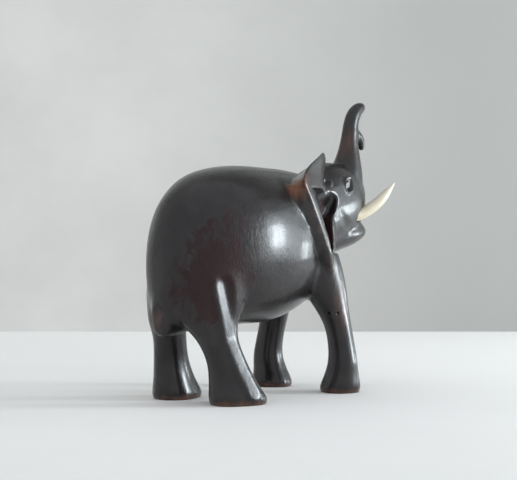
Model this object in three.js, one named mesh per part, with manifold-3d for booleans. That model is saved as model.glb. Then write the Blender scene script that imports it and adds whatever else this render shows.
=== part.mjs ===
// A carved wooden elephant with a raised trunk, pale tusks and pale eye inlays.
// Millimetres, +X towards the trunk, +Y to the elephant's left, +Z up.
// While it is being built, X and Y are measured from the middle of the four feet; the finished group is
// then moved so that its origin is the middle of the whole object, on the surface that it stands on.
import * as THREE from "three";
import { LoftGeometry } from "three/addons/geometries/LoftGeometry.js";
import { mergeVertices } from "three/addons/utils/BufferGeometryUtils.js";
import Module from "manifold-3d";

const wasm = await Module();
wasm.setup();

// ---------------------------------------------------------------------------------------------------------
// Driving dimensions

// Torso: one round block between the rump and the chest.
const RUMP_X = -62;
const CHEST_X = 46;
const TORSO_HALF_WIDTH = 28;
const BACK_HEIGHT = 102;
const BELLY_HEIGHT = 32;

// Keel of wood left between the hind legs, and how far it hangs below the belly and reaches up into it.
const KEEL_HALF_WIDTH = 4.5;
const KEEL_DEPTH = 3.5;
const KEEL_ROOT = 16;

// Legs: the middle of each foot, and how far the toes turn outwards.
const HIND_FOOT = { x: -33, y: 18.2, halfLength: 12.4, halfWidth: 9.8 };
const FRONT_FOOT = { x: 32.8, y: 20.3, halfLength: 8.7, halfWidth: 9.2 };
const TOE_TURN = 20;
const SOLE_EDGE = 0.5;

// Head. The jaw, trunk, ears, tusks and eyes take their places from the crown and the face.
const NECK_X = 18;
const FACE_X = 74;
const CROWN_HEIGHT = 107;
const HEAD_DEPTH = 46.5;
const HEAD_HALF_WIDTH = 13.6;
const JAW_REACH = 3;
const JAW_DROP = 32.6;

// Trunk: its tip's height over the crown, and its radius halfway up.
const TRUNK_RISE = 31.4;
const TRUNK_RADIUS = 4.6;

// Ears: heights from the crown, and how far the rim stands out. The left ear is carved lower than the right.
const EAR_RISE = { right: 2.6, left: -4 };
const EAR_DROP = 52.6;
const EAR_FLARE = 28;
const EAR_THICKNESS = 3.8;
const RECESS_DEPTH = 3.8;

// Tusks, and the drilled sockets that hold them.
const TUSK_ROOT = { behindFace: 7.8, insideCheek: 6.6, aboveJaw: 8 };
const TUSK_LENGTH = 23.5;
const TUSK_RADIUS = 2.75;
const TUSK_SEAT = 6;
const TUSK_CLEARANCE = 0.3;

// Eyes: an almond hollow, and an inlay in a pocket in its floor.
const EYE = { behindFace: 22.2, belowCrown: 11.2, length: 7, height: 4 };
const EYE_TILT = THREE.MathUtils.degToRad(52);
const EYE_HOLLOW = 0.9;
const INLAY = { length: 3.8, height: 2.6 };
const INLAY_DEPTH = 1.6;
const INLAY_PROUD = 0.35;
const INLAY_CLEARANCE = 0.3;

const RIGHT = -1;
const LEFT = 1;

const DARK_WOOD = { color: 0x2b1d1a, roughness: 0.32, metalness: 0 };
const PALE_BONE = { color: 0xe9dfc6, roughness: 0.38, metalness: 0 };
const PALE_INLAY = { color: 0xcfc8bd, roughness: 0.35, metalness: 0 };

// ---------------------------------------------------------------------------------------------------------
// Solids and lofts

function solidOf(geometry) {
  const bare = new THREE.BufferGeometry().copy(geometry);
  bare.deleteAttribute("normal");
  bare.deleteAttribute("uv");
  const merged = mergeVertices(bare, 1e-3);
  const corners = merged.index.array;
  const triVerts = [];
  for (let i = 0; i < corners.length; i += 3) {
    const [a, b, c] = corners.slice(i, i + 3);
    if (a !== b && b !== c && c !== a) {
      triVerts.push(a, b, c);
    }
  }
  return new wasm.Manifold(
    new wasm.Mesh({
      numProp: 3,
      vertProperties: merged.attributes.position.array,
      triVerts: new Uint32Array(triVerts),
    }),
  );
}

function geometryOf(solid) {
  const mesh = solid.getMesh();
  const geometry = new THREE.BufferGeometry();
  geometry.setAttribute("position", new THREE.BufferAttribute(mesh.vertProperties, 3));
  geometry.setIndex(new THREE.BufferAttribute(mesh.triVerts, 1));
  geometry.computeVertexNormals();
  return geometry;
}

// Points of one closed ring: a superellipse with half-axes `across` and `along`. Squareness 2 is an ellipse.
function ring(centre, across, along, squareness, sides) {
  const points = [];
  for (let i = 0; i < sides; i += 1) {
    const angle = (2 * Math.PI * i) / sides;
    const c = Math.cos(angle);
    const s = Math.sin(angle);
    const reach = (Math.abs(c) ** squareness + Math.abs(s) ** squareness) ** (-1 / squareness);
    points.push(centre.clone().addScaledVector(across, c * reach).addScaledVector(along, s * reach));
  }
  return points;
}

// Catmull-Rom through the stations' numbers, so a loft stays smooth between the few stations that are named.
function between(stations, steps) {
  const last = stations.length - 1;
  const dense = [];
  for (let step = 0; step <= steps; step += 1) {
    const place = (step / steps) * last;
    const i = Math.min(Math.floor(place), last - 1);
    const t = place - i;
    const four = [i - 1, i, i + 1, i + 2].map((k) => stations[Math.min(Math.max(k, 0), last)]);
    const station = {};
    for (const key of Object.keys(four[1])) {
      const [a, b, c, d] = four.map((s) => s[key]);
      station[key] =
        0.5 * (2 * b + (c - a) * t + (2 * a - 5 * b + 4 * c - d) * t * t + (3 * b - 3 * c + d - a) * t ** 3);
    }
    dense.push(station);
  }
  return dense;
}

// A closed skin over the rings. Each end is drawn in to the middle of its own ring.
function loft(rings) {
  const pole = (points) => {
    const sum = points.reduce((total, point) => total.add(point), new THREE.Vector3());
    const centre = sum.divideScalar(points.length);
    return points.map(() => centre);
  };
  const closed = [pole(rings[0]), ...rings, pole(rings[rings.length - 1])];
  const solid = solidOf(new LoftGeometry(closed));
  if (solid.volume() > 0) {
    return solid;
  }
  return solidOf(new LoftGeometry(closed.map((points) => points.slice().reverse())));
}

// A loft along X that is symmetric about the middle plane. Each station names its top, bottom and half-width.
function middleLoft(stations, { steps, sides, squareness = 2.1 }) {
  const rings = between(stations, steps).map(({ x, top, bottom, wide }) => {
    const centre = new THREE.Vector3(x, 0, (top + bottom) / 2);
    const across = new THREE.Vector3(0, wide, 0);
    const upwards = new THREE.Vector3(0, 0, (top - bottom) / 2);
    return ring(centre, across, upwards, squareness, sides);
  });
  return loft(rings);
}

// A loft up a leg. Each station names its height, its middle, its half-size along and across the toes, and
// how many degrees the toes turn outwards.
function legLoft(stations, side, { steps, sides, squareness = 2.4 }) {
  const rings = between(stations, steps).map(({ z, x, y, long, wide, turn }) => {
    const angle = THREE.MathUtils.degToRad(turn);
    const toes = new THREE.Vector3(Math.cos(angle), side * Math.sin(angle), 0);
    const across = new THREE.Vector3(-toes.y, toes.x, 0);
    return ring(
      new THREE.Vector3(x, side * y, z),
      toes.multiplyScalar(long),
      across.multiplyScalar(wide),
      squareness,
      sides,
    );
  });
  return loft(rings);
}

// A round loft along a path, with a radius at each of the path's points.
function taperedRod(points, radii, { steps, sides, flatness = 1 }) {
  const path = new THREE.CatmullRomCurve3(points);
  const radiusCurve = new THREE.SplineCurve(radii.map((r, i) => new THREE.Vector2(i, r)));
  const rings = [];
  for (let step = 0; step <= steps; step += 1) {
    const t = step / steps;
    const tangent = path.getTangent(t);
    const sideways = new THREE.Vector3(0, 1, 0).addScaledVector(tangent, -tangent.y).normalize();
    const outward = new THREE.Vector3().crossVectors(tangent, sideways).normalize();
    const radius = radiusCurve.getPoint(t).y;
    sideways.multiplyScalar(radius * flatness);
    outward.multiplyScalar(radius);
    rings.push(ring(path.getPoint(t), sideways, outward, 2, sides));
  }
  return loft(rings);
}

const mix = THREE.MathUtils.lerp;

// ---------------------------------------------------------------------------------------------------------
// Body: torso, keel, legs

function torso() {
  const rows = [
    { along: 0, top: 0.6, bottom: 0.1, wide: 0.1 },
    { along: 0.025, top: 0.69, bottom: 0.03, wide: 0.36 },
    { along: 0.08, top: 0.81, bottom: 0, wide: 0.56 },
    { along: 0.18, top: 0.925, bottom: -0.015, wide: 0.8 },
    { along: 0.3, top: 0.98, bottom: -0.01, wide: 0.95 },
    { along: 0.43, top: 1, bottom: 0, wide: 1 },
    { along: 0.57, top: 1, bottom: 0.005, wide: 0.96 },
    { along: 0.7, top: 0.995, bottom: 0.05, wide: 0.84 },
    { along: 0.82, top: 0.97, bottom: 0.13, wide: 0.68 },
    { along: 0.92, top: 0.9, bottom: 0.23, wide: 0.52 },
    { along: 0.98, top: 0.78, bottom: 0.35, wide: 0.32 },
    { along: 1, top: 0.68, bottom: 0.45, wide: 0.14 },
  ];
  const stations = rows.map(({ along, top, bottom, wide }) => ({
    x: mix(RUMP_X, CHEST_X, along),
    top: mix(BELLY_HEIGHT, BACK_HEIGHT, top),
    bottom: mix(BELLY_HEIGHT, BACK_HEIGHT, bottom),
    wide: TORSO_HALF_WIDTH * wide,
  }));
  return middleLoft(stations, { steps: 30, sides: 32 });
}

// It hangs below the belly and its rear end is flush with the rump.
function keel() {
  const foot = BELLY_HEIGHT - KEEL_DEPTH;
  const top = BELLY_HEIGHT + KEEL_ROOT;
  const stations = [
    { x: RUMP_X - 0.6, top: top - 2, bottom: foot + 5, wide: KEEL_HALF_WIDTH * 0.6 },
    { x: RUMP_X + 0.4, top, bottom: foot + 1.8, wide: KEEL_HALF_WIDTH * 0.9 },
    { x: RUMP_X + 3.4, top, bottom: foot, wide: KEEL_HALF_WIDTH },
    { x: RUMP_X + 16, top, bottom: foot + 1.6, wide: KEEL_HALF_WIDTH },
    { x: RUMP_X + 27, top, bottom: foot + 5, wide: KEEL_HALF_WIDTH * 0.8 },
  ];
  return middleLoft(stations, { steps: 10, sides: 16, squareness: 3.5 });
}

// The shin leans back and inwards from the toes, and the thigh above it widens into the flank.
function hindLeg(side) {
  const { x, y, halfLength, halfWidth } = HIND_FOOT;
  const stations = [
    { z: 0, x, y, long: halfLength - SOLE_EDGE, wide: halfWidth - SOLE_EDGE, turn: TOE_TURN },
    { z: 3, x: x - 0.2, y, long: halfLength, wide: halfWidth, turn: TOE_TURN },
    { z: 10, x: x - 2.8, y: y - 0.6, long: halfLength - 2.2, wide: halfWidth - 1.6, turn: TOE_TURN },
    { z: 18, x: x - 5.3, y: y - 1.5, long: halfLength - 3.8, wide: halfWidth - 2.7, turn: TOE_TURN },
    { z: 27, x: x - 8.4, y: y - 3.9, long: halfLength - 3.3, wide: halfWidth - 3.1, turn: TOE_TURN + 3 },
    { z: 34, x: x - 11.3, y: y - 5.6, long: halfLength, wide: halfWidth - 2.6, turn: TOE_TURN + 6 },
    { z: 40, x: x - 11.4, y: y - 6.2, long: halfLength + 2.2, wide: halfWidth - 2, turn: TOE_TURN + 8 },
    { z: 48, x: x - 10.5, y: y - 5.9, long: halfLength + 2.4, wide: halfWidth - 1, turn: TOE_TURN + 8 },
    { z: 58, x: x - 7, y: y - 6.7, long: halfLength + 0.6, wide: halfWidth + 0.6, turn: TOE_TURN + 8 },
    { z: 68, x: x - 4, y: y - 8, long: halfLength - 3, wide: halfWidth - 0.8, turn: TOE_TURN + 8 },
  ];
  return legLoft(stations, side, { steps: 20, sides: 20 });
}

// The leg bows outwards above the foot, and the upper leg leans back and inwards into the shoulder.
function frontLeg(side) {
  const { x, y, halfLength, halfWidth } = FRONT_FOOT;
  const stations = [
    { z: 0, x, y, long: halfLength - SOLE_EDGE, wide: halfWidth - SOLE_EDGE, turn: TOE_TURN },
    { z: 3, x, y: y + 0.4, long: halfLength, wide: halfWidth, turn: TOE_TURN },
    { z: 9, x: x - 0.3, y: y + 1.6, long: halfLength - 1.5, wide: halfWidth - 1.4, turn: TOE_TURN },
    { z: 15, x: x - 0.7, y: y + 2.4, long: halfLength - 2.5, wide: halfWidth - 2.2, turn: TOE_TURN },
    { z: 23, x: x - 0.6, y: y + 1.3, long: halfLength - 3, wide: halfWidth - 2.7, turn: TOE_TURN },
    { z: 31, x: x - 0.6, y: y - 0.8, long: halfLength - 2.6, wide: halfWidth - 2.6, turn: TOE_TURN },
    { z: 39, x: x - 2.2, y: y - 3.2, long: halfLength - 0.8, wide: halfWidth - 1.7, turn: TOE_TURN },
    { z: 49, x: x - 5.6, y: y - 5.6, long: halfLength + 2.4, wide: halfWidth - 0.2, turn: TOE_TURN },
    { z: 61, x: x - 10, y: y - 8.3, long: halfLength + 4.5, wide: halfWidth + 1.4, turn: TOE_TURN },
    { z: 73, x: x - 13, y: y - 10, long: halfLength + 3, wide: halfWidth + 0.8, turn: TOE_TURN },
  ];
  return legLoft(stations, side, { steps: 20, sides: 18 });
}

// ---------------------------------------------------------------------------------------------------------
// Head, jaw, trunk and ears

function head() {
  const throat = CROWN_HEIGHT - HEAD_DEPTH;
  const rows = [
    { along: 0, top: CROWN_HEIGHT - 14, bottom: throat - 12, wide: 1.1 },
    { along: 0.2, top: CROWN_HEIGHT - 7, bottom: throat - 5, wide: 1.06 },
    { along: 0.38, top: CROWN_HEIGHT - 2, bottom: throat + 1.5, wide: 1.02 },
    { along: 0.54, top: CROWN_HEIGHT, bottom: throat + 5, wide: 0.94 },
    { along: 0.7, top: CROWN_HEIGHT - 0.5, bottom: throat + 9, wide: 0.84 },
    { along: 0.83, top: CROWN_HEIGHT - 2.5, bottom: throat + 13, wide: 0.7 },
    { along: 0.94, top: CROWN_HEIGHT - 5.5, bottom: throat + 17.5, wide: 0.5 },
    { along: 1, top: CROWN_HEIGHT - 10, bottom: throat + 25, wide: 0.2 },
  ];
  const stations = rows.map(({ along, top, bottom, wide }) => ({
    x: mix(NECK_X, FACE_X, along),
    top,
    bottom,
    wide: HEAD_HALF_WIDTH * wide,
  }));
  return middleLoft(stations, { steps: 22, sides: 26 });
}

// The lower jaw: `back` is measured from its lip, `top` and `bottom` from the line between the lips.
function jaw() {
  const rows = [
    { back: 33, top: 7.5, bottom: 13, wide: 0.625 },
    { back: 22, top: 7.5, bottom: 10, wide: 0.6 },
    { back: 13, top: 7, bottom: 7.8, wide: 0.54 },
    { back: 5, top: 5, bottom: 4.8, wide: 0.4 },
    { back: 1.4, top: 2.9, bottom: 2.6, wide: 0.25 },
    { back: 0, top: 1.5, bottom: 1.2, wide: 0.12 },
  ];
  const stations = rows.map(({ back, top, bottom, wide }) => ({
    x: FACE_X + JAW_REACH - back,
    top: CROWN_HEIGHT - JAW_DROP + top,
    bottom: CROWN_HEIGHT - JAW_DROP - bottom,
    wide: HEAD_HALF_WIDTH * wide,
  }));
  return middleLoft(stations, { steps: 12, sides: 18 });
}

// A point on the trunk's middle line: `forward` from the face, and a share of the way from crown to tip.
function trunkPoint(forward, share) {
  return new THREE.Vector3(FACE_X + forward, 0, CROWN_HEIGHT + TRUNK_RISE * share);
}

function trunk() {
  const points = [
    trunkPoint(-13.5, -0.48),
    trunkPoint(-10.3, -0.18),
    trunkPoint(-8.7, 0.05),
    trunkPoint(-7.9, 0.26),
    trunkPoint(-7.2, 0.44),
    trunkPoint(-6.3, 0.62),
    trunkPoint(-4.5, 0.76),
    trunkPoint(-1.5, 0.86),
    trunkPoint(1.9, 0.915),
    trunkPoint(4.1, 0.945),
  ];
  const girth = [2.3, 1.95, 1.5, 1.14, 0.97, 0.88, 0.84, 0.76, 0.6, 0.34];
  const radii = girth.map((share) => share * TRUNK_RADIUS);
  return taperedRod(points, radii, { steps: 24, sides: 16, flatness: 0.92 });
}

// The lower lip of the trunk's open end curls forwards and down. It starts inside the trunk.
function trunkLip() {
  const points = [trunkPoint(-7, 0.5), trunkPoint(-2.6, 0.47), trunkPoint(1.3, 0.37), trunkPoint(2.3, 0.23)];
  const radii = [0.76, 0.66, 0.54, 0.32].map((share) => share * TRUNK_RADIUS);
  return taperedRod(points, radii, { steps: 10, sides: 12 });
}

// An ear's outline at a few heights, from its top down. Each row gives the front edge, the rim and the back
// edge as [behind the face, outwards]; the rim's outward distance is measured inwards from the ear's full
// flare. `edge` is the share of the rim's flat edge that is left, and `hollow` how far the front is cupped.
function earStations(side) {
  const rise = side === RIGHT ? EAR_RISE.right : EAR_RISE.left;
  const rows = [
    { share: 0, front: [44, 14.5], rim: [48.5, 12], back: [46.8, 14.5], edge: 0, hollow: 0 },
    { share: 0.07, front: [41, 12.5], rim: [59.5, 6.5], back: [50.5, 14], edge: 0.1, hollow: 0.6 },
    { share: 0.17, front: [40, 10.5], rim: [71, 2.5], back: [58.5, 13], edge: 0.25, hollow: 1.8 },
    { share: 0.28, front: [38.5, 9.5], rim: [75, 0.3], back: [72, 16], edge: 0.8, hollow: 2.6 },
    { share: 0.41, front: [38, 9.5], rim: [70.4, 0], back: [84, 18.5], edge: 1, hollow: 2.6 },
    { share: 0.56, front: [38, 9.5], rim: [65.4, 0], back: [81, 20.5], edge: 0.9, hollow: 2.6 },
    { share: 0.71, front: [38, 10], rim: [60.8, 0.2], back: [73.5, 21.5], edge: 0.8, hollow: 2.2 },
    { share: 0.86, front: [39.5, 12], rim: [56.5, 1], back: [63, 20.5], edge: 0.7, hollow: 1.5 },
    { share: 1, front: [44, 18.5], rim: [50.5, 4.5], back: [52.5, 18.5], edge: 0.3, hollow: 0 },
  ];
  return rows.map(({ share, front, rim, back, edge, hollow }) => ({
    z: mix(CROWN_HEIGHT + rise, CROWN_HEIGHT - EAR_DROP, share),
    frontX: FACE_X - front[0],
    frontY: front[1],
    rimX: FACE_X - rim[0],
    rimY: EAR_FLARE - rim[1],
    backX: FACE_X - back[0],
    backY: back[1],
    edge: EAR_THICKNESS * edge,
    hollow,
  }));
}

// Where the flat edge of the rim ends and the cupped front begins. The edge faces almost straight out.
const RIM_EDGE_TURN = THREE.MathUtils.degToRad(8.7);

function innerEdge({ rimX, rimY, edge, z }, side) {
  const forwards = edge * Math.cos(RIM_EDGE_TURN);
  const inwards = edge * Math.sin(RIM_EDGE_TURN);
  return new THREE.Vector3(rimX + forwards, side * (rimY - inwards), z);
}

// A cupped wedge. Its front runs from the head out to the rim, its back from the rim to the shoulder.
const EAR_BACK_HOLLOW = 0.6;

function ear(side) {
  const rings = between(earStations(side), 20).map((station) => {
    const front = new THREE.Vector3(station.frontX, side * station.frontY, station.z);
    const rim = new THREE.Vector3(station.rimX, side * station.rimY, station.z);
    const back = new THREE.Vector3(station.backX, side * station.backY, station.z);
    const inner = innerEdge(station, side);
    const chord = inner.clone().sub(front);
    const inward = new THREE.Vector3(-chord.y, chord.x, 0).normalize().multiplyScalar(-side);
    const cup = front.clone().add(inner).multiplyScalar(0.5).addScaledVector(inward, 2 * station.hollow);
    const belly = rim.clone().add(back).multiplyScalar(0.5).addScaledVector(inward, EAR_BACK_HOLLOW);
    const cuppedFront = new THREE.QuadraticBezierCurve3(front, cup, inner).getPoints(8);
    const slopingBack = new THREE.QuadraticBezierCurve3(rim, belly, back).getPoints(4);
    return [...cuppedFront, ...slopingBack];
  });
  return loft(rings);
}

// The recess chiselled behind the cheek. It starts at the inner edge of the ear's rim, and its front wall
// leaves a ridge down the cheek. The cutter stands `outside` the wood; the wall under the ridge leans by
// `lean` to a foot `footRun` behind it and `footDrop` deeper; the floor rises by `floorRise` at `floorShare`
// of the way back to the rim, and climbs out to the rim with the slope `rimSlope`.
const RECESS = {
  outside: 6,
  lean: 0.7,
  footRun: 3,
  footDrop: 0.8,
  floorShare: 0.45,
  floorRise: 1.5,
  rimSlope: 0.9,
};

// Each row gives the ridge as [height from the crown, behind the face], and a share of the full depth.
function earRecess(side) {
  const rows = [
    { ridge: [-15, 36], depth: 0.1 },
    { ridge: [-18, 33.5], depth: 0.55 },
    { ridge: [-21.5, 34.5], depth: 1 },
    { ridge: [-25, 36.2], depth: 1 },
    { ridge: [-28, 40], depth: 1 },
    { ridge: [-32.5, 41], depth: 1 },
    { ridge: [-38, 40], depth: 0.8 },
    { ridge: [-43.5, 39], depth: 0.4 },
  ];
  const drop = side === RIGHT ? 0 : EAR_RISE.left;
  const ears = between(earStations(side), 60);
  const stations = rows.map(({ ridge, depth }) => ({
    z: CROWN_HEIGHT + drop + ridge[0],
    ridgeX: FACE_X - ridge[1],
    depth,
  }));
  const rings = between(stations, 16).map(({ z, ridgeX, depth }) => {
    const level = ears.reduce((best, e) => (Math.abs(e.z - z) < Math.abs(best.z - z) ? e : best));
    const inner = innerEdge(level, side);
    const deep = RECESS_DEPTH * depth;
    const at = (x, y) => new THREE.Vector3(x, side * y, z);
    const rimY = Math.abs(inner.y);
    const floor = HEAD_HALF_WIDTH - deep;
    const floorRun = RECESS.floorShare * (ridgeX - inner.x);
    const climb = Math.min(2 * deep, floorRun);
    return [
      at(inner.x, rimY),
      at(mix(inner.x, ridgeX, 0.5), rimY + RECESS.outside),
      at(ridgeX + RECESS.lean, HEAD_HALF_WIDTH + RECESS.outside),
      at(ridgeX - RECESS.lean, floor),
      at(ridgeX - RECESS.footRun, floor - RECESS.footDrop),
      at(ridgeX - floorRun, floor + RECESS.floorRise),
      at(inner.x + climb, rimY - RECESS.rimSlope * climb),
    ];
  });
  return loft(rings);
}

// ---------------------------------------------------------------------------------------------------------
// Tusks and eye inlays, with the sockets that hold them

// A tusk, or the socket drilled for it: it leaves the cheek forwards, then sweeps up and slightly outwards.
function tuskRod(side, radius, seat) {
  const mouth = new THREE.Vector3(
    FACE_X - TUSK_ROOT.behindFace,
    side * (HEAD_HALF_WIDTH - TUSK_ROOT.insideCheek),
    CROWN_HEIGHT - JAW_DROP + TUSK_ROOT.aboveJaw,
  );
  const inwards = new THREE.Vector3(-0.93, side * -0.25, -0.2).normalize();
  const reach = (forwards, outwards, up) =>
    new THREE.Vector3(forwards, side * outwards, up).multiplyScalar(TUSK_LENGTH).add(mouth);
  const points = [
    mouth.clone().addScaledVector(inwards, seat),
    mouth,
    reach(0.38, 0.15, 0.24),
    reach(0.6, 0.23, 0.46),
    reach(0.79, 0.29, 0.67),
  ];
  const radii = [1, 1, 0.97, 0.68, 0.12].map((share) => share * radius);
  return taperedRod(points, radii, { steps: 18, sides: 14 });
}

function almond({ length, height }, growth) {
  const shape = new THREE.Shape();
  const end = length / 2 + growth;
  const lid = height + 2 * growth;
  shape.moveTo(-end, 0);
  shape.quadraticCurveTo(0, -lid, end, 0);
  shape.quadraticCurveTo(0, lid, -end, 0);
  return shape;
}

// The eye's middle: where a straight line inwards at its place first meets the head's side.
function eyeCentre(geometry, side) {
  const target = new THREE.Mesh(geometry, new THREE.MeshBasicMaterial({ side: THREE.DoubleSide }));
  const farOut = side * 10 * HEAD_HALF_WIDTH;
  const outside = new THREE.Vector3(FACE_X - EYE.behindFace, farOut, CROWN_HEIGHT - EYE.belowCrown);
  return new THREE.Raycaster(outside, new THREE.Vector3(0, -side, 0)).intersectObject(target)[0].point;
}

// An almond block in the eye's place, from `sunk` below the head's surface to `proud` above it.
function eyeBlock(side, centre, outline, sunk, proud) {
  const options = { depth: sunk + proud, bevelEnabled: false, curveSegments: 8 };
  const block = new THREE.ExtrudeGeometry(outline, options);
  block.translate(0, 0, -sunk);
  block.rotateZ(-side * EYE_TILT);
  block.rotateX((-side * Math.PI) / 2);
  block.translate(centre.x, centre.y, centre.z);
  return solidOf(block);
}

// ---------------------------------------------------------------------------------------------------------
// Assembly

function piece(name, solid, look) {
  const mesh = new THREE.Mesh(geometryOf(solid), new THREE.MeshStandardMaterial(look));
  mesh.name = name;
  return mesh;
}

let carving = torso().add(keel()).add(head()).add(jaw()).add(trunk()).add(trunkLip());
for (const side of [RIGHT, LEFT]) {
  carving = carving.add(hindLeg(side)).add(frontLeg(side)).add(ear(side));
}
for (const side of [RIGHT, LEFT]) {
  carving = carving.subtract(earRecess(side));
}

const elephant = new THREE.Group();
const skin = geometryOf(carving);
const pocketDepth = EYE_HOLLOW + INLAY_DEPTH;
const beyondSkin = 6;
for (const [side, word] of [[RIGHT, "right"], [LEFT, "left"]]) {
  const centre = eyeCentre(skin, side);
  const sockets = [
    tuskRod(side, TUSK_RADIUS + TUSK_CLEARANCE, TUSK_SEAT + TUSK_CLEARANCE),
    eyeBlock(side, centre, almond(EYE, 0), EYE_HOLLOW, beyondSkin),
    eyeBlock(side, centre, almond(INLAY, INLAY_CLEARANCE), pocketDepth + INLAY_CLEARANCE, beyondSkin),
  ];
  for (const socket of sockets) {
    carving = carving.subtract(socket);
  }
  const inlay = eyeBlock(side, centre, almond(INLAY, 0), pocketDepth, INLAY_PROUD - EYE_HOLLOW);
  elephant.add(piece(`tusk_${word}`, tuskRod(side, TUSK_RADIUS, TUSK_SEAT), PALE_BONE));
  elephant.add(piece(`eye_inlay_${word}`, inlay, PALE_INLAY));
}
elephant.add(piece("carved_body", carving, DARK_WOOD));

const box = new THREE.Box3().setFromObject(elephant);
elephant.position.set(-(box.min.x + box.max.x) / 2, 0, -box.min.z);

export default elephant;
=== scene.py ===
"""Carves the polished skin of a wooden elephant around its frame, and sets it on a pale stage.

Everything is in metres, in the frame's own axes: +X the way the elephant faces, +Y to its left, +Z up.
"""

import math

import bpy
import numpy as np
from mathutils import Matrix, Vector


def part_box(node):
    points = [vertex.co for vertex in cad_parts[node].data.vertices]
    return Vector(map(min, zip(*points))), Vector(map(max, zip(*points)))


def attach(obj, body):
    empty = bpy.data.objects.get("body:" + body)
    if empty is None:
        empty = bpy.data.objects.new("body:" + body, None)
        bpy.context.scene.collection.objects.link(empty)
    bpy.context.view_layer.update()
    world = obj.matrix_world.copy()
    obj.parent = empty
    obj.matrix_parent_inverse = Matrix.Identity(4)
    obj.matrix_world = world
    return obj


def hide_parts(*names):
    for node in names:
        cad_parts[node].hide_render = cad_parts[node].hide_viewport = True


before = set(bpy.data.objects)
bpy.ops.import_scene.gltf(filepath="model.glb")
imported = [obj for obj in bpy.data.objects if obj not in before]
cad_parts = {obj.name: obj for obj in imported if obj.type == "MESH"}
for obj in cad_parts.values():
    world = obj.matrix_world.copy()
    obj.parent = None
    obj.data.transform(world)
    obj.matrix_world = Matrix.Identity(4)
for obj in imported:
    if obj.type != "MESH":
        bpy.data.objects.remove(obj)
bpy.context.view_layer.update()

bl_info = {
    "name": "Carved Wooden Elephant",
    "version": (1, 0, 0),
    "blender": (4, 5, 0),
    "location": "3D View > Sidebar > Elephant",
    "description": "Carves and finishes a dark wooden elephant with pale tusks",
    "category": "Object",
}

MM = 0.001
SIDES = {"right": -1, "left": 1}

# ---------------------------------------------------------------------------------------------------------
# Places taken from the frame


def middle(node):
    low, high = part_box(node)
    return (low + high) / 2


BODY_LOW, BODY_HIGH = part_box("carved_body")
EYES = {word: middle(f"eye_inlay_{word}") for word in SIDES}
EYE = EYES["right"]
TUSK_LOW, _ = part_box("tusk_right")
TRUNK_TOP = BODY_HIGH.z
RUMP = BODY_LOW.x


def from_eye(forward, outward, above, side=-1):
    """A point given in millimetres from the eye on that side of the head."""
    return Vector((EYE.x + forward * MM, side * (abs(EYE.y) + outward * MM), EYE.z + above * MM))


# How much lower the left ear is carved, in millimetres.
LEFT_EAR_DROP = 6.6


def by_ear(point, side):
    """A point given from the eye that follows the ear, because the left ear is carved lower."""
    forward, outward, above = point
    return from_eye(forward, outward, above - (LEFT_EAR_DROP if side > 0 else 0), side)


# ---------------------------------------------------------------------------------------------------------
# Places on the carving. A point is in millimetres from the eye: forwards, outwards and above. Reaches, widths
# and spans are in millimetres too.

# The chiselled hollow behind the cheek, the back and the rim of the ear, and the ridge of the thigh.
HOLLOW = [(-21, -2, -10), (-20, 0, -15), (-20, 1, -20), (-19, 3, -25)]
HOLLOW_REACH = 7
EAR_BACK = [(-55, 11, -2), (-53, 12, -10), (-48, 12, -18), (-42, 12, -26), (-36, 11, -33)]
EAR_BACK_REACH = 7.5
EAR_RIM = [(-45, 18, -14.5), (-41, 18, -21.5), (-37, 18, -28), (-33, 17, -34.5), (-29.5, 15, -38.5)]
EAR_RIM_REACH = 5
THIGH_RIDGE = [(-97, 10.6, -48), (-95.5, 11.3, -54), (-94, 12, -61), (-92, 13, -69)]
THIGH_RIDGE_REACH = 7

# Parts of the ear that are rubbed round: the fold over the hollow, and the lower tip.
EAR_FOLD = (-29, 6, -9)
EAR_FOLD_REACH = 14
EAR_TIP = (-41, 10, -42)
EAR_TIP_REACH = 9

# Strokes of the knife, how far to each side they reach, and the mouth's share of their full depth.
MOUTH_CREASE = [(-9, 2, -14), (-2, 1.5, -18.5), (6, -2, -20.5), (15, -4, -20.5), (21, -6, -20)]
MOUTH_REACH = 4
MOUTH_SHARE = 0.35
EAR_NOTCH = [(-18.5, 3, 2.6), (-16.5, 1.5, 1.8), (-15.5, 0, -0.6)]
EAR_NOTCH_REACH = 2
EAR_NOTCH_LIP = [(-14.8, 2.5, 3.6), (-13.6, 1.5, 1), (-14.4, 1, -2)]
KEEL_CUTS = [[(-115, -10, -56), (-113, -8, -61)], [(-115, -8.6, -54.5), (-114, -7, -57)]]
KNIFE_REACH = 1.6

# The almond rim around an eye: its tilt in degrees, half its length and height, and the softness of its edge.
EYE_TILT = 52
EYE_RIM = (4.9, 3.1)
EYE_RIM_SHARE = 0.2

# How far from an eye the rubbing of the forms and of the edges holds back, and how abruptly.
EYE_FORM_GUARD = 9
EYE_EDGE_GUARD = 6
EYE_GUARD_POWER = 0.3

# The two holes drilled in the right foreleg, the drill's length, and its turn in degrees.
HOLES = [(-27.3, 11.5, -59.5), (-24.6, 14.2, -59.5)]
DRILL_LENGTH = 9
DRILL_TURN = -35

# Flats left by the rasp: the line down the middle of each, and half its width. A flat is whole over the
# middle share of its width, and takes in skin no further than the bite from it.
THIGH_FLAT = [
    (-97.5, 10.6, -46),
    (-95.5, 11.3, -56),
    (-92.4, 11.7, -68.1),
    (-88.9, 15.4, -80.9),
    (-85.2, 18.2, -90),
]
FLATS = [(THIGH_FLAT, 4.8)]
FLAT_FACING = (-0.06, 1, 0.11)
FLAT_BITE = 3.5
FLAT_MIDDLE = 0.6

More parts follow.
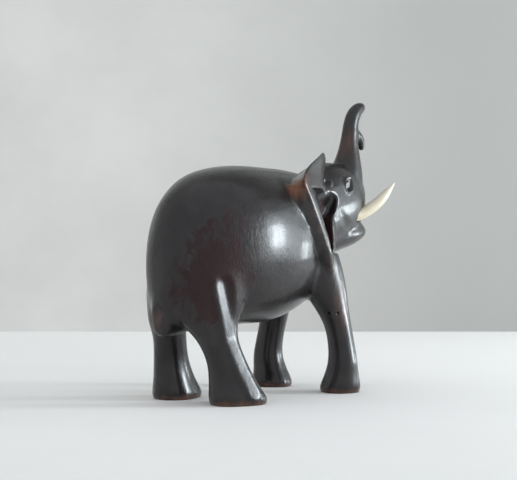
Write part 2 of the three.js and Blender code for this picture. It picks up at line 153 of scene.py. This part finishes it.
# Spans over which the share of a region rises from 0 to 1. Heights and distances along are from the eye,
# except that the keel's front is from the rump, the soles' top is from the ground, and the ear's root and the
# keel's half width are from the middle.
EAR_TOP = (16, 20)
EAR_FOOT = (-44, -36)
EAR_REAR = (-60, -53)
EAR_FRONT = (-9, -6)
EAR_ROOT = (8.5, 11)
KEEL_FRONT = (26, 32)
KEEL_HALF_WIDTH = (5, 7.5)
KEEL_TOP = (-58, -50)
HEAD_REAR = (-40, -24)
SOLE_TOP = (2, 9)
LEG_TOP = (-45, -30)

# Size of the chisel's marks.
CHISEL_MARK = 2.2

# Makes up for what smoothing takes off a tusk.
TUSK_FULLNESS = 0.1

# Marks in the finish: a centre, its reach, and how much each axis counts towards that reach.
FLANK_PATCH = ((-95, 10, -36), 34, (0.9, 0.5, 0.7))
THIGH_PATCH = ((-102, 8, -50), 20, (1, 0.6, 0.9))

# Marks rubbed by hands on the ear's back, the keel and the foreleg, each with how strongly it shows.
RUBBED_MARKS = [
    ((-52, 13.5, -3), 8, (0.8, 0.8, 0.6), 0.8),
    ((-113, -13, -60), 10, (1.2, 0.7, 0.8), 0.5),
    ((-22, 15, -55), 16, (1.3, 0.7, 0.5), 0.4),
]


# ---------------------------------------------------------------------------------------------------------
# What a user would change


class CarvingSettings(bpy.types.PropertyGroup):
    grain_size: bpy.props.FloatProperty(
        name="Carving step",
        description="Smallest cut that the carved surface can hold",
        default=0.55 * MM,
        min=0.3 * MM,
        unit="LENGTH",
    )
    form_softening: bpy.props.IntProperty(
        name="Form softening",
        description="How far the big forms are rubbed into each other",
        default=110,
    )
    edge_softening: bpy.props.IntProperty(
        name="Edge softening",
        description="How far the crisp cuts of ears, keel and feet are rubbed down",
        default=12,
    )
    eyelid_height: bpy.props.FloatProperty(
        name="Eyelid height",
        description="How far the rim around each eye stands up",
        default=0.7 * MM,
        unit="LENGTH",
    )
    cut_depth: bpy.props.FloatProperty(
        name="Cut depth",
        description="Depth of the knife cuts at the mouth, the ear's notch and the keel",
        default=1.1 * MM,
        unit="LENGTH",
    )
    tool_mark_depth: bpy.props.FloatProperty(
        name="Tool mark depth",
        description="How far the chiselled hollow behind the cheek is roughened",
        default=0.35 * MM,
        unit="LENGTH",
    )
    peg_hole_radius: bpy.props.FloatProperty(
        name="Hole radius",
        description="Radius of the two small holes in the right foreleg",
        default=0.6 * MM,
        unit="LENGTH",
    )
    most_triangles: bpy.props.IntProperty(
        name="Most triangles",
        description="The finished carving is thinned to this many triangles",
        default=185000,
    )


class FinishSettings(bpy.types.PropertyGroup):
    stain: bpy.props.FloatVectorProperty(
        name="Stain",
        description="Colour of the dark stained wood",
        subtype="COLOR",
        default=(0.0090, 0.0066, 0.0074),
    )
    reddish: bpy.props.FloatVectorProperty(
        name="Reddish patches",
        description="Colour of the wood where the stain has thinned",
        subtype="COLOR",
        default=(0.019, 0.0058, 0.0066),
    )
    worn_edge: bpy.props.FloatVectorProperty(
        name="Worn edges",
        description="Colour of the bare wood at rubbed edges",
        subtype="COLOR",
        default=(0.20, 0.075, 0.035),
    )
    bone: bpy.props.FloatVectorProperty(
        name="Tusk",
        description="Colour of the tusks",
        subtype="COLOR",
        default=(0.70, 0.65, 0.54),
    )
    inlay: bpy.props.FloatVectorProperty(
        name="Eye inlay",
        description="Colour of the eye inlays",
        subtype="COLOR",
        default=(0.25, 0.235, 0.22),
    )


class StageSettings(bpy.types.PropertyGroup):
    window_power: bpy.props.FloatProperty(
        name="Window power",
        description="Power of the large soft light on the right",
        default=14.0,
        unit="POWER",
    )
    sky_strength: bpy.props.FloatProperty(
        name="Surrounding light",
        description="Strength of the even light from all around",
        default=0.92,
    )
    floor_colour: bpy.props.FloatVectorProperty(
        name="Floor",
        description="Colour of the pale floor",
        subtype="COLOR",
        default=(0.93, 0.92, 0.90),
    )
    wall_colour: bpy.props.FloatVectorProperty(
        name="Wall",
        description="Colour of the pale wall behind",
        subtype="COLOR",
        default=(0.68, 0.67, 0.64),
    )


# ---------------------------------------------------------------------------------------------------------
# Materials


class Value:
    """A socket in a finish. Python's operators on it add Math nodes."""

    def __init__(self, finish, socket):
        self.finish = finish
        self.socket = socket

    def maths(self, operation, first, second):
        return self.finish.node("Math", {"operation": operation}, {0: first, 1: second})

    def __add__(self, other):
        return self.maths("ADD", self, other)

    __radd__ = __add__

    def __sub__(self, other):
        return self.maths("SUBTRACT", self, other)

    def __rsub__(self, other):
        return self.maths("SUBTRACT", other, self)

    def __mul__(self, other):
        return self.maths("MULTIPLY", self, other)

    __rmul__ = __mul__


class Finish:
    """A procedural material on the Principled shader. `node` adds any node and wires its sockets."""

    def __init__(self, name, **shader_values):
        self.material = bpy.data.materials.new(name)
        self.material.use_nodes = True
        self.tree = self.material.node_tree
        self.shader = self.tree.nodes["Principled BSDF"]
        for socket, value in shader_values.items():
            self.shader.inputs[socket.replace("_", " ").title().replace("Ior", "IOR")].default_value = value
        self.place = self.node("TexCoord", output="Object")

    def node(self, kind, settings=None, inputs=None, output=0):
        node = self.tree.nodes.new("ShaderNode" + kind)
        for name, value in (settings or {}).items():
            setattr(node, name, value)
        for name, value in (inputs or {}).items():
            self.wire(node.inputs[name], value)
        return Value(self, node.outputs[output])

    def wire(self, socket, value):
        if isinstance(value, Value):
            self.tree.links.new(value.socket, socket)
        elif hasattr(socket.default_value, "__len__") and len(socket.default_value) == 4:
            socket.default_value = (*value[:3], 1)
        else:
            socket.default_value = value

    def noise(self, scale, stretch=(1, 1, 1), detail=3, roughness=0.55, distortion=0):
        """Noise from 0 to 1, about 0.5, with `scale` features per metre."""
        where = self.node("Mapping", inputs={"Vector": self.place, "Scale": stretch})
        values = {"Vector": where, "Scale": scale, "Detail": detail, "Roughness": roughness,
                  "Distortion": distortion}
        return self.node("TexNoise", inputs=values)

    def ramp(self, value, low, high, start=0, end=1):
        """Smoothly from `start` to `end` as the value goes from `low` to `high`."""
        limits = {"Value": value, "From Min": low, "From Max": high, "To Min": start, "To Max": end}
        return self.node("MapRange", {"interpolation_type": "SMOOTHSTEP"}, limits)

    def spot(self, centre, reach, squash=(1, 1, 1)):
        """1 at a point on the piece, falling to 0 at `reach` from it, measured along squashed axes."""
        offset = self.node("VectorMath", {"operation": "SUBTRACT"}, {0: self.place, 1: tuple(centre)})
        scaled = self.node("VectorMath", {"operation": "MULTIPLY"}, {0: offset, 1: squash})
        distance = self.node("VectorMath", {"operation": "LENGTH"}, {0: scaled}, output="Value")
        return self.ramp(distance, 0, reach, 1, 0)

    def mix(self, factor, first, second):
        return self.node("Mix", {"data_type": "RGBA"}, {0: factor, 6: first, 7: second}, output=2)

    def bumps(self, height, distance, strength=1.0, normal=None):
        inputs = {"Height": height, "Distance": distance, "Strength": strength}
        if normal:
            inputs["Normal"] = normal
        return self.node("Bump", inputs=inputs)

    def finished(self, **sockets):
        for name, value in sockets.items():
            self.wire(self.shader.inputs[name.replace("_", " ").title()], value)
        return self.material


def shade(colour, share):
    """A colour made darker or lighter by one share."""
    return tuple(share * part for part in colour)


def mark(wood, centre, reach, squash):
    """A spot on the right side, with its place and reach in millimetres."""
    return wood.spot(from_eye(*centre), reach * MM, squash)


def place_mask(wood, points, reach):
    """1 around the points on both sides. Those on the left are lowered, as the left ear is."""
    masks = [wood.spot(by_ear(point, side), reach * MM) for side in SIDES.values() for point in points]
    total = masks[0]
    for mask in masks[1:]:
        total = total + mask
    return wood.ramp(total, 0.1, 0.7)


def thinned_stain(wood, cloudy, torn):
    """1 in the torn reddish patches of flank and thigh, and little along the thigh's polished ridge."""
    spread = mark(wood, *FLANK_PATCH) * 0.66 + mark(wood, *THIGH_PATCH) * 0.3
    patches = wood.ramp(spread + cloudy * 0.9 + torn * 1.2, 1.42, 1.66)
    return patches * (1 - 0.9 * place_mask(wood, THIGH_RIDGE, THIGH_RIDGE_REACH))


def rubbing(wood, cloudy):
    """How much hands and shelves have rubbed each place."""
    height = wood.node("SeparateXYZ", inputs={0: wood.place}, output="Z")
    soles = wood.ramp(height + cloudy * 3 * MM, 2 * MM, 6 * MM, 1, 0)
    trunk_side = wood.spot((TUSK_LOW.x + 2 * MM, 0, TRUNK_TOP - 22 * MM), 22 * MM, (1.5, 1, 0.8))
    chin = wood.spot((TUSK_LOW.x + 6 * MM, 0, EYE.z - 26 * MM), 11 * MM, (0.6, 0.8, 1.2))
    ear_rims = place_mask(wood, EAR_RIM, EAR_RIM_REACH)
    rubbed = soles * 0.45 + trunk_side * 0.36 + chin * 0.5 + ear_rims * 0.34
    for centre, reach, squash, share in RUBBED_MARKS:
        rubbed = rubbed + mark(wood, centre, reach, squash) * share
    return rubbed


def stained_colour(wood, colours, patches, grain, streaks):
    """The stain, darker in upright streaks, and reddish in the patches and along the grain."""
    stained = wood.mix(wood.ramp(streaks, 0.3, 0.7), tuple(colours.stain), shade(colours.stain, 0.6))
    reddened = wood.mix(patches, stained, tuple(colours.reddish))
    return wood.mix(wood.ramp(grain, 0.55, 0.8) * 0.35, reddened, shade(colours.reddish, 0.8))


def skin_relief(wood, streaks, pores):
    """Waves along the grain, with dimples, speckle and pores over them."""
    waves = wood.bumps(streaks, 0.18 * MM, 0.3)
    dimples = wood.bumps(wood.noise(620, stretch=(1, 1, 0.6), detail=3), 0.35 * MM, 0.5, waves)
    speckle = wood.noise(1500, stretch=(1, 1, 0.7), detail=3, roughness=0.7)
    rough = wood.bumps(speckle, 0.14 * MM, 0.6, dimples)
    return wood.bumps(pores, 0.06 * MM, 0.4, rough)


def dark_wood():
    """Dark stained wood, hand polished, with reddish patches, rubbed edges, fine upright grain and pores, and
    painted light in the hollows behind the cheeks.
    """
    colours = bpy.context.scene.elephant_finish
    wood = Finish("dark_wood", specular_ior_level=0.26, coat_roughness=0.2)
    cloudy = wood.noise(70, detail=4, roughness=0.62, distortion=0.6)
    grain = wood.noise(900, stretch=(1, 1, 0.12), detail=2)
    streaks = wood.noise(260, stretch=(1, 1, 0.1), detail=3)
    pores = wood.noise(2600, stretch=(1, 1, 0.45), detail=2)
    torn = wood.noise(260, stretch=(1, 1, 0.6), detail=5, roughness=0.7, distortion=0.9)
    patches = thinned_stain(wood, cloudy, torn)
    hollows = place_mask(wood, HOLLOW, HOLLOW_REACH)
    ear_backs = place_mask(wood, EAR_BACK, EAR_BACK_REACH)

    edges = wood.ramp(wood.node("NewGeometry", output="Pointiness"), 0.52, 0.6)
    wear = wood.ramp((rubbing(wood, cloudy) + edges * 0.25) * (streaks + 0.35), 0.15, 0.75)
    tinted = stained_colour(wood, colours, patches, grain, streaks)
    worn = wood.mix(wear * 0.8, tinted, tuple(colours.worn_edge))
    # Painted light: the hollows behind the cheeks are coloured a lighter, mottled reddish brown, which lifts
    # the shade that falls in them.
    chiselled_and_painted_light = wood.mix(wood.ramp(torn, 0.4, 0.62), tuple(colours.reddish), shade(colours.reddish, 2.6))
    colour = wood.mix(hollows * 0.9, worn, chiselled_and_painted_light)

    matte = wood.node("Math", {"operation": "MAXIMUM"}, {0: patches, 1: hollows})
    gloss = 0.25 + 0.14 * cloudy + 0.16 * matte + 0.1 * wear + wood.ramp(pores, 0.5, 0.75) * 0.1
    rubbed_film = wood.ramp(cloudy + streaks * 0.6, 0.6, 1.0, 0.34, 0.62)
    polish = rubbed_film * (1 - 0.9 * patches) * (1 - 0.7 * hollows) * (1 - 0.95 * ear_backs)
    relief = skin_relief(wood, streaks, pores)
    return wood.finished(base_color=colour, roughness=gloss, coat_weight=polish, normal=relief)


def polished_bone():
    """Cream bone-like tusks, streaked along their length and tanned towards the root."""
    cream = bpy.context.scene.elephant_finish.bone
    bone = Finish(
        "polished_bone",
        specular_ior_level=0.5,
        subsurface_weight=0.06,
        subsurface_radius=(2 * MM,) * 3,
    )
    fibres = bone.noise(420, stretch=(0.25, 1, 0.4), detail=3)
    stains = bone.noise(160, detail=3)
    root = bone.spot((TUSK_LOW.x, 0, TUSK_LOW.z), 24 * MM, (1, 0.3, 1))
    tan = tuple(part * share for part, share in zip(cream, (0.78, 0.70, 0.55)))
    streaked = bone.mix(bone.ramp(fibres, 0.35, 0.7) * 0.4, tuple(cream), tan)
    colour = bone.mix(bone.ramp(root + stains * 0.6, 0.5, 1.3) * 0.6, streaked, tan)
    relief = bone.bumps(fibres, 0.05 * MM, 0.3)
    return bone.finished(base_color=colour, roughness=0.3 + 0.15 * stains, normal=relief)


def pale_inlay():
    """Pale bone-like chips in the eyes, a little soiled."""
    chip = Finish("pale_inlay", specular_ior_level=0.5)
    soil = chip.noise(900, detail=3)
    clean = bpy.context.scene.elephant_finish.inlay
    colour = chip.mix(chip.ramp(soil, 0.4, 0.75) * 0.6, tuple(clean), shade(clean, 0.45))
    relief = chip.bumps(soil, 0.05 * MM, 0.3)
    return chip.finished(base_color=colour, roughness=0.45 + 0.2 * soil, normal=relief)


def stage_finish(name, colour, unevenness, shade_right=0):
    """Pale matt paint, a little blotchy, and shaded towards its right end, nearest the windows."""
    plain = Finish(name)
    clouds = plain.noise(9, detail=4)
    blotchy = plain.mix(plain.ramp(clouds, 0.3, 0.7), tuple(colour), shade(colour, 1 - unevenness))
    along = plain.node("SeparateXYZ", inputs={0: plain.place}, output="X")
    even = plain.mix(plain.ramp(along, *SHADED_SPAN), blotchy, shade(colour, 1 - shade_right))
    return plain.finished(base_color=even, roughness=0.75 + 0.1 * clouds)


# ---------------------------------------------------------------------------------------------------------
# Tools of the bench

# A vertex group holds its weights in this many steps.
WEIGHT_STEPS = 60


def select_only(*pieces):
    bpy.ops.object.select_all(action="DESELECT")
    for piece in pieces:
        piece.select_set(True)
    bpy.context.view_layer.objects.active = pieces[0]


def apply_modifier(piece, kind, **settings):
    """Adds one modifier, applies it, and leaves the piece selected."""
    select_only(piece)
    modifier = piece.modifiers.new(kind.title(), kind)
    for name, value in settings.items():
        setattr(modifier, name, value)
    bpy.ops.object.modifier_apply(modifier=modifier.name)
    return piece


def rough_block(node, name):
    """A new object with the shape of a node, its loose triangles merged into one skin."""
    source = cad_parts[node]
    piece = bpy.data.objects.new(name, source.data.copy())
    bpy.context.scene.collection.objects.link(piece)
    select_only(piece)
    bpy.ops.object.mode_set(mode="EDIT")
    bpy.ops.mesh.select_all(action="SELECT")
    bpy.ops.mesh.customdata_custom_splitnormals_clear()
    bpy.ops.mesh.remove_doubles(threshold=0.002 * MM)
    bpy.ops.object.mode_set(mode="OBJECT")
    return piece


def places_of(piece):
    flat = np.empty(3 * len(piece.data.vertices))
    piece.data.vertices.foreach_get("co", flat)
    return flat.reshape(-1, 3)


def ease(share):
    """A share from 0 to 1 that leaves and arrives gently."""
    return share * share * (3 - 2 * share)


def nearness(places, centre, reach):
    """1 at the centre, falling smoothly to 0 at `reach`, for every point."""
    distance = np.linalg.norm(places - np.array(centre), axis=1)
    return ease(np.clip(1 - distance / reach, 0, 1))


def step_up(values, low, high):
    """0 up to `low`, rising smoothly to 1 at `high`."""
    return ease(np.clip((values - low) / (high - low), 0, 1))


def rise(values, origin, span):
    """A step up over a span given in millimetres from an origin."""
    return step_up(values, origin + span[0] * MM, origin + span[1] * MM)


def weigh(piece, name, weights):
    """Adds a vertex group that holds the given weights, in fine steps."""
    group = piece.vertex_groups.new(name=name)
    levels = np.rint(np.clip(weights, 0, 1) * WEIGHT_STEPS).astype(int)
    for level in range(1, WEIGHT_STEPS + 1):
        group.add(np.flatnonzero(levels == level).tolist(), level / WEIGHT_STEPS, "REPLACE")
    return name


def soften(piece, name, weights, times):
    """Rubs the surface down where the weights say so."""
    group = weigh(piece, name, weights)
    apply_modifier(piece, "SMOOTH", factor=0.5, iterations=times, vertex_group=group)


def add_to_object(piece, material, node):
    """Finishes a piece: its material, the body it rides on, and the node that it stands for."""
    piece.data.materials.clear()
    piece.data.materials.append(material)
    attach(piece, "root")
    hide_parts(node)


# ---------------------------------------------------------------------------------------------------------
# The carved body


def ear_share(places):
    """1 on the ears and the hollows behind the cheeks, 0 on the rest."""
    x, y, z = places.T
    between_heights = (1 - rise(z, EYE.z, EAR_TOP)) * rise(z, EYE.z, EAR_FOOT)
    along = rise(x, EYE.x, EAR_REAR) * (1 - rise(x, EYE.x, EAR_FRONT))
    return between_heights * along * rise(np.abs(y), 0, EAR_ROOT)


def keel_share(places):
    """1 on the keel under the rump, 0 on the rest."""
    x, y, z = places.T
    behind = 1 - rise(x, RUMP, KEEL_FRONT)
    slim = 1 - rise(np.abs(y), 0, KEEL_HALF_WIDTH)
    return behind * slim * (1 - rise(z, EYE.z, KEEL_TOP))


def form_weights(places):
    """How freely each point may be rubbed into its neighbours: the torso most, crisp details least."""
    x, _, z = places.T
    behind_head = 1 - rise(x, EYE.x, HEAD_REAR)
    weights = (0.3 + 0.7 * behind_head) * rise(z, 0, SOLE_TOP)
    for eye in EYES.values():
        weights = weights * (1 - nearness(places, eye, EYE_FORM_GUARD * MM) ** EYE_GUARD_POWER)
    return weights * (1 - ear_share(places)) * (1 - keel_share(places))


def edge_weights(places):
    """How freely the crisp cuts may be eased."""
    weights = 0.25 + 0.75 * np.maximum(ear_share(places), keel_share(places))
    for eye in EYES.values():
        weights = weights * (1 - 0.9 * nearness(places, eye, EYE_EDGE_GUARD * MM) ** EYE_GUARD_POWER)
    return weights


def stroke_nearness(places, points, reach):
    """1 along a line through the points, falling smoothly to 0 at `reach` from it."""
    nearest = np.full(len(places), np.inf)
    for start, end in zip(points, points[1:]):
        start, end = np.array(start), np.array(end)
        along = (places - start) @ (end - start) / ((end - start) @ (end - start))
        foot = start + np.clip(along, 0, 1)[:, None] * (end - start)
        nearest = np.minimum(nearest, np.linalg.norm(places - foot, axis=1))
    return ease(np.clip(1 - nearest / reach, 0, 1))


def eye_rim_nearness(places, side):
    """1 along the almond rim around an eye, falling to 0 on both sides of it."""
    eye = np.array(from_eye(0, 0, 0, side))
    across, _, up = ((places - eye) / MM).T
    tilt = math.radians(EYE_TILT)
    along = across * math.cos(tilt) + up * math.sin(tilt)
    over = up * math.cos(tilt) - across * math.sin(tilt)
    ring = np.abs(over) / EYE_RIM[1] + (along / EYE_RIM[0]) ** 2
    on_side = side * places[:, 1] > 0.5 * abs(EYE.y)
    return np.exp(-(((ring - 1) / EYE_RIM_SHARE) ** 2)) * on_side


def raise_skin(piece, name, weights, height):
    """Moves the skin out along its normals, or in where the height is negative."""
    group = weigh(piece, name, weights)
    apply_modifier(piece, "DISPLACE", vertex_group=group, strength=height, mid_level=0)


def cut_details(body, settings):
    """Eyelids, mouth, ear notches and the marks of the knife on the keel."""
    places = places_of(body)
    rims = sum(eye_rim_nearness(places, side) for side in SIDES.values())
    raise_skin(body, "eyelids", rims, settings.eyelid_height)
    places = places_of(body)
    cuts = np.zeros(len(places))
    lips = np.zeros(len(places))
    for side in SIDES.values():
        mouth = [from_eye(*point, side) for point in MOUTH_CREASE]
        notch = [by_ear(point, side) for point in EAR_NOTCH]
        notch_lip = [by_ear(point, side) for point in EAR_NOTCH_LIP]
        cuts += MOUTH_SHARE * stroke_nearness(places, mouth, MOUTH_REACH * MM)
        cuts += stroke_nearness(places, notch, EAR_NOTCH_REACH * MM)
        lips += stroke_nearness(places, notch_lip, KNIFE_REACH * MM)
    for stroke in KEEL_CUTS:
        cuts += stroke_nearness(places, [from_eye(*point) for point in stroke], KNIFE_REACH * MM)
    raise_skin(body, "cuts", cuts, -settings.cut_depth)
    raise_skin(body, "lips", lips, 0.5 * settings.cut_depth)


def roughen_hollows(body, depth):
    """Leaves the chisel's marks in the hollows behind the cheeks."""
    places = places_of(body)
    inside = np.zeros(len(places))
    for side in SIDES.values():
        for point in HOLLOW:
            inside = np.maximum(inside, nearness(places, by_ear(point, side), HOLLOW_REACH * MM))
    chatter = bpy.data.textures.new("chisel_marks", "CLOUDS")
    chatter.noise_scale = CHISEL_MARK * MM
    chatter.noise_depth = 2
    group = weigh(body, "hollows", inside)
    apply_modifier(body, "DISPLACE", vertex_group=group, strength=depth, mid_level=0.5, texture=chatter)


def rasp_flat(body, points, facing, half_width):
    """Brings the skin along a line through the points onto one flat strip."""
    places = places_of(body)
    nearest = np.full(len(places), np.inf)
    lift = np.zeros(len(places))
    outward = np.zeros_like(places)
    for start, end in zip(points, points[1:]):
        start, end = np.array(start), np.array(end)
        length = np.linalg.norm(end - start)
        direction = (end - start) / length
        normal = np.array(facing) - (np.array(facing) @ direction) * direction
        normal = normal / np.linalg.norm(normal)
        foot = start + np.clip((places - start) @ direction, 0, length)[:, None] * direction
        offset = places - foot
        height = offset @ normal
        sideways = np.linalg.norm(offset - height[:, None] * normal, axis=1)
        closer = (sideways < nearest) & (np.abs(height) < FLAT_BITE * MM)
        nearest = np.where(closer, sideways, nearest)
        lift = np.where(closer, height, lift)
        outward = np.where(closer[:, None], normal, outward)
    share = 1 - step_up(nearest, FLAT_MIDDLE * half_width, half_width)
    places = places - outward * (lift * share)[:, None]
    body.data.vertices.foreach_set("co", places.ravel())
    body.data.update()


def rasp_flats(body):
    """Leaves every flat on both sides."""
    for points, half_width in FLATS:
        for side in SIDES.values():
            facing = (FLAT_FACING[0], side * FLAT_FACING[1], FLAT_FACING[2])
            rasp_flat(body, [from_eye(*point, side) for point in points], facing, half_width * MM)


def drill_holes(body, radius):
    """Two small holes in the right foreleg, drilled straight in."""
    for point in HOLES:
        bpy.ops.object.select_all(action="DESELECT")
        bpy.ops.mesh.primitive_cylinder_add(
            vertices=16,
            radius=radius,
            depth=DRILL_LENGTH * MM,
            location=from_eye(*point),
            rotation=(math.radians(90), 0, math.radians(DRILL_TURN)),
        )
        drill = bpy.context.object
        apply_modifier(body, "BOOLEAN", object=drill, operation="DIFFERENCE", solver="MANIFOLD")
        bpy.data.objects.remove(drill)


def rub_forms(body, softening):
    """Rubs the big forms into each other, and leaves the rasp's flats on the thighs."""
    soften(body, "forms", form_weights(places_of(body)), softening)
    rasp_flats(body)
    places = places_of(body)
    legs = 1 - rise(places[:, 2], EYE.z, LEG_TOP)
    soften(body, "legs", legs * form_weights(places), softening // 5)


def near_both_ears(places, point, reach):
    """1 at a point of either ear, falling smoothly to 0 at `reach` from it."""
    return np.maximum(*[nearness(places, by_ear(point, side), reach * MM) for side in SIDES.values()])


def ease_ears(body, softening):
    """Rounds the fold over each hollow and the lower tip of each ear."""
    places = places_of(body)
    folds = near_both_ears(places, EAR_FOLD, EAR_FOLD_REACH)
    tips = near_both_ears(places, EAR_TIP, EAR_TIP_REACH)
    soften(body, "ear_folds", folds, 2 * softening)
    soften(body, "ear_tips", tips, softening)


def thin_out(body, most_triangles):
    triangles = sum(len(face.vertices) - 2 for face in body.data.polygons)
    apply_modifier(body, "DECIMATE", ratio=min(1, most_triangles / triangles))


class ELEPHANT_OT_carve_body(bpy.types.Operator):
    """Carves the torso, legs, head, trunk and ears as one polished block of wood"""

    bl_idname = "elephant.carve_body"
    bl_label = "Carve Body"

    def execute(self, context):
        settings = context.scene.elephant_carving
        body = rough_block("carved_body", "carved_wood")
        apply_modifier(body, "REMESH", mode="VOXEL", voxel_size=settings.grain_size, adaptivity=0)
        rub_forms(body, settings.form_softening)
        ease_ears(body, settings.form_softening)
        soften(body, "edges", edge_weights(places_of(body)), settings.edge_softening)
        cut_details(body, settings)
        roughen_hollows(body, settings.tool_mark_depth)
        drill_holes(body, settings.peg_hole_radius)
        thin_out(body, settings.most_triangles)
        select_only(body)
        bpy.ops.object.shade_smooth()
        add_to_object(body, dark_wood(), "carved_body")
        return {"FINISHED"}


class ELEPHANT_OT_shape_tusks(bpy.types.Operator):
    """Shapes the two upcurved tusks"""

    bl_idname = "elephant.shape_tusks"
    bl_label = "Shape Tusks"

    def execute(self, context):
        finish = polished_bone()
        for word in SIDES:
            tusk = rough_block(f"tusk_{word}", f"tusk_bone_{word}")
            apply_modifier(tusk, "SUBSURF", levels=2, render_levels=2)
            apply_modifier(tusk, "DISPLACE", strength=TUSK_FULLNESS * MM, mid_level=0)
            select_only(tusk)
            bpy.ops.object.shade_smooth()
            add_to_object(tusk, finish, f"tusk_{word}")
        return {"FINISHED"}


class ELEPHANT_OT_set_eye_inlays(bpy.types.Operator):
    """Sets a pale chip into each eye"""

    bl_idname = "elephant.set_eye_inlays"
    bl_label = "Set Eye Inlays"

    def execute(self, context):
        finish = pale_inlay()
        for word in SIDES:
            chip = rough_block(f"eye_inlay_{word}", f"eye_chip_{word}")
            apply_modifier(chip, "BEVEL", width=0.25 * MM, segments=3)
            select_only(chip)
            bpy.ops.object.shade_smooth_by_angle(angle=math.radians(40))
            add_to_object(chip, finish, f"eye_inlay_{word}")
        return {"FINISHED"}


# ---------------------------------------------------------------------------------------------------------
# Stage

# The camera stands behind the rump on the right. Its heading is in degrees from +Y towards +X, and its pitch
# in degrees above level. Its lens is in millimetres, and its nearest distance in metres.
CAMERA_PLACE = Vector((RUMP - 351.3 * MM, -372.7 * MM, 61.6 * MM))
CAMERA_HEADING = 48
CAMERA_PITCH = 0.79
CAMERA_LENS = 86.3
CAMERA_NEAREST = 0.01

# The stage in metres, how blotchy its paint is, and how far the wall darkens over the shaded span.
STAGE_SIZE = 6
WALL_DISTANCE = 0.46
FLOOR_UNEVENNESS = 0.03
WALL_UNEVENNESS = 0.1
WALL_SHADE = 0.48
SHADED_SPAN = (-0.2, 0.22)

DAYLIGHT = (0.86, 0.95, 1.0)
SKY = (0.93, 0.96, 1.0, 1)
LIGHT_DISTANCE = 0.9

# Soft lights: name, azimuth and elevation in degrees, width and height in metres, share of the window power.
SOFT_LIGHTS = [
    ("window_left", -49, 7, 0.2, 0.3, 0.44),
    ("window_right", -18, -1, 0.16, 0.12, 0.13),
    ("window_glow", -38, 9, 0.5, 0.6, 0.1),
]


def add_plane(name, finish, location):
    bpy.ops.mesh.primitive_plane_add(size=STAGE_SIZE, location=location)
    plane = bpy.context.object
    plane.name = name
    plane.data.materials.append(finish)
    return plane


def add_floor_and_wall(settings):
    floor_paint = stage_finish("pale_floor", settings.floor_colour, FLOOR_UNEVENNESS)
    floor = add_plane("stage_floor", floor_paint, (0, 0, 0))
    turn = math.radians(CAMERA_HEADING)
    heading = Vector((math.sin(turn), math.cos(turn), 0))
    wall_paint = stage_finish("pale_wall", settings.wall_colour, WALL_UNEVENNESS, WALL_SHADE)
    wall = add_plane("stage_wall", wall_paint, heading * WALL_DISTANCE)
    wall.rotation_euler = (math.pi / 2, 0, -turn)


def add_soft_light(name, azimuth, elevation, width, height, power):
    """A rectangular softbox that faces the middle of the elephant."""
    around, above = math.radians(azimuth), math.radians(elevation)
    away = Vector((math.cos(around) * math.cos(above), math.sin(around) * math.cos(above), math.sin(above)))
    light = bpy.data.lights.new(name, "AREA")
    light.shape = "RECTANGLE"
    light.size = width
    light.size_y = height
    light.energy = power
    light.color = DAYLIGHT
    lamp = bpy.data.objects.new(name, light)
    bpy.context.scene.collection.objects.link(lamp)
    lamp.location = Vector((0, 0, BODY_HIGH.z / 2)) + LIGHT_DISTANCE * away
    lamp.rotation_euler = away.to_track_quat("Z", "Y").to_euler()


def add_surroundings(scene, strength):
    """Even light from all around."""
    world = bpy.data.worlds.new("surroundings")
    world.use_nodes = True
    background = world.node_tree.nodes["Background"]
    background.inputs["Color"].default_value = SKY
    background.inputs["Strength"].default_value = strength
    scene.world = world


def add_camera(scene):
    camera = bpy.data.cameras.new("camera")
    camera.lens = CAMERA_LENS
    camera.clip_start = CAMERA_NEAREST
    stand = bpy.data.objects.new("camera", camera)
    scene.collection.objects.link(stand)
    stand.location = CAMERA_PLACE
    stand.rotation_euler = (math.radians(90 + CAMERA_PITCH), 0, -math.radians(CAMERA_HEADING))
    scene.camera = stand


class ELEPHANT_OT_set_stage(bpy.types.Operator):
    """Adds the floor, the wall, the lights and the camera"""

    bl_idname = "elephant.set_stage"
    bl_label = "Set Stage"

    def execute(self, context):
        settings = context.scene.elephant_stage
        add_floor_and_wall(settings)
        for name, azimuth, elevation, width, height, share in SOFT_LIGHTS:
            add_soft_light(name, azimuth, elevation, width, height, share * settings.window_power)
        add_surroundings(context.scene, settings.sky_strength)
        context.scene.view_settings.view_transform = "Standard"
        add_camera(context.scene)
        return {"FINISHED"}


class ELEPHANT_PT_panel(bpy.types.Panel):
    bl_label = "Carved Elephant"
    bl_idname = "ELEPHANT_PT_panel"
    bl_space_type = "VIEW_3D"
    bl_region_type = "UI"
    bl_category = "Elephant"

    def draw(self, context):
        scene = context.scene
        for settings in (scene.elephant_carving, scene.elephant_finish, scene.elephant_stage):
            box = self.layout.box()
            for name in settings.bl_rna.properties.keys():
                if name not in {"rna_type", "name"}:
                    box.prop(settings, name)
        for operator in OPERATORS:
            self.layout.operator(operator.bl_idname)


OPERATORS = (
    ELEPHANT_OT_set_stage,
    ELEPHANT_OT_carve_body,
    ELEPHANT_OT_shape_tusks,
    ELEPHANT_OT_set_eye_inlays,
)
SETTINGS = {
    "elephant_carving": CarvingSettings,
    "elephant_finish": FinishSettings,
    "elephant_stage": StageSettings,
}


def register():
    for name, group in SETTINGS.items():
        bpy.utils.register_class(group)
        setattr(bpy.types.Scene, name, bpy.props.PointerProperty(type=group))
    for operator in OPERATORS:
        bpy.utils.register_class(operator)
    bpy.utils.register_class(ELEPHANT_PT_panel)


def unregister():
    bpy.utils.unregister_class(ELEPHANT_PT_panel)
    for operator in reversed(OPERATORS):
        bpy.utils.unregister_class(operator)
    for name, group in SETTINGS.items():
        delattr(bpy.types.Scene, name)
        bpy.utils.unregister_class(group)


def plain(box):
    return [list(map(float, corner)) for corner in box]


def main():
    register()
    bpy.ops.elephant.set_stage()
    bpy.ops.elephant.carve_body()
    bpy.ops.elephant.shape_tusks()
    bpy.ops.elephant.set_eye_inlays()


if __name__ == "__main__":
    main()
